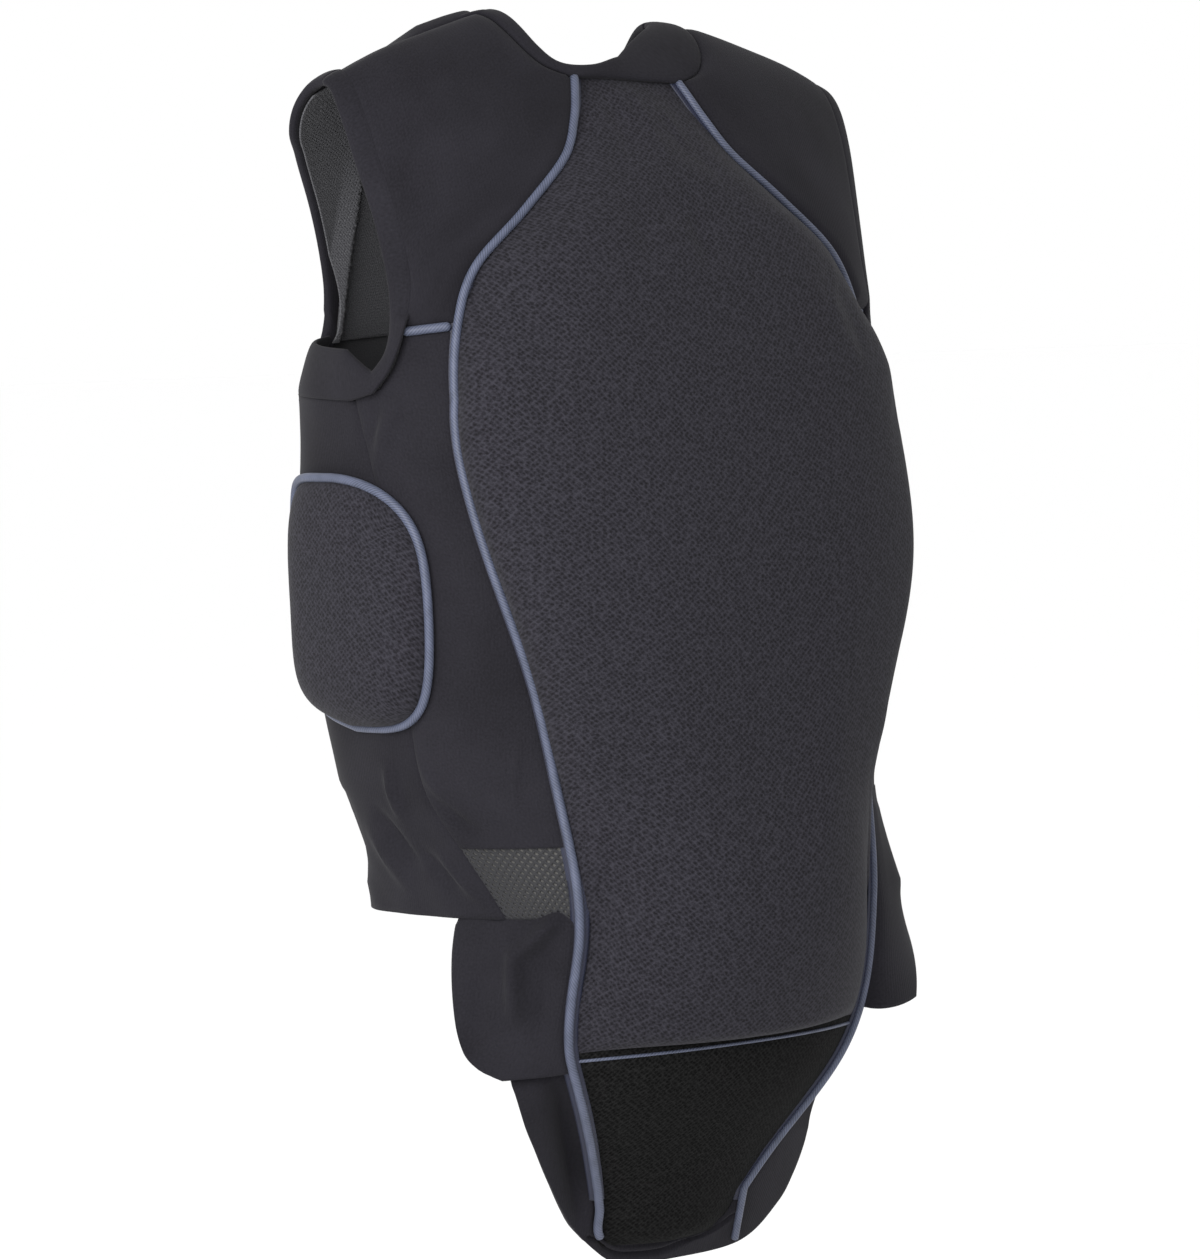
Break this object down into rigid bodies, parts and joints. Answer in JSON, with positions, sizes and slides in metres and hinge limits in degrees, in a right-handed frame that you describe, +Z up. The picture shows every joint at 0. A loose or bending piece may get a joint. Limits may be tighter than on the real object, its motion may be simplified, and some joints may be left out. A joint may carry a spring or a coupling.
{
  "type": "body protector",
  "caption": "Sleeveless padded vest with a long shaped back pad, curved tail and side pads, closed by a front zip, that shields the wearer's spine and flanks.",
  "frame": {"origin": "middle of the shoulder line, where the vest sits on the wearer's shoulders", "axes": "+Z up along the spine, the wearer faces -Y, the back pad is on +Y, the wearer's left is +X"},
  "size_m": [0.3694, 0.2763, 0.6869],
  "materials": {
    "softshell": "smooth matte stretch cloth",
    "spacer_knit": "matte textured knit over foam",
    "dark_knit": "matte fine knit over foam",
    "piping_cloth": "satin silver-lilac binding",
    "open_mesh": "matte open net",
    "zip_tape": "matte woven tape"
  },
  "bodies": {
    "root": {"back_pad": "spacer_knit", "tail_pad": "dark_knit", "neck_band": "softshell", "front_zip": "zip_tape", "tail_flange": "softshell", "yoke_left": "softshell", "armhole_band_left": "softshell", "side_panel_left": "softshell", "mesh_window_left": "open_mesh", "front_panel_left": "softshell", "front_lining_left": "open_mesh", "side_pad_left": "spacer_knit", "side_pad_piping_left": "piping_cloth", "hip_wing_left": "softshell", "piping_left": "piping_cloth", "yoke_piping_left": "piping_cloth", "yoke_right": "softshell", "armhole_band_right": "softshell", "side_panel_right": "softshell", "mesh_window_right": "open_mesh", "front_panel_right": "softshell", "front_lining_right": "open_mesh", "side_pad_right": "spacer_knit", "side_pad_piping_right": "piping_cloth", "hip_wing_right": "softshell", "piping_right": "piping_cloth", "yoke_piping_right": "piping_cloth"}
  },
  "joints": []
}
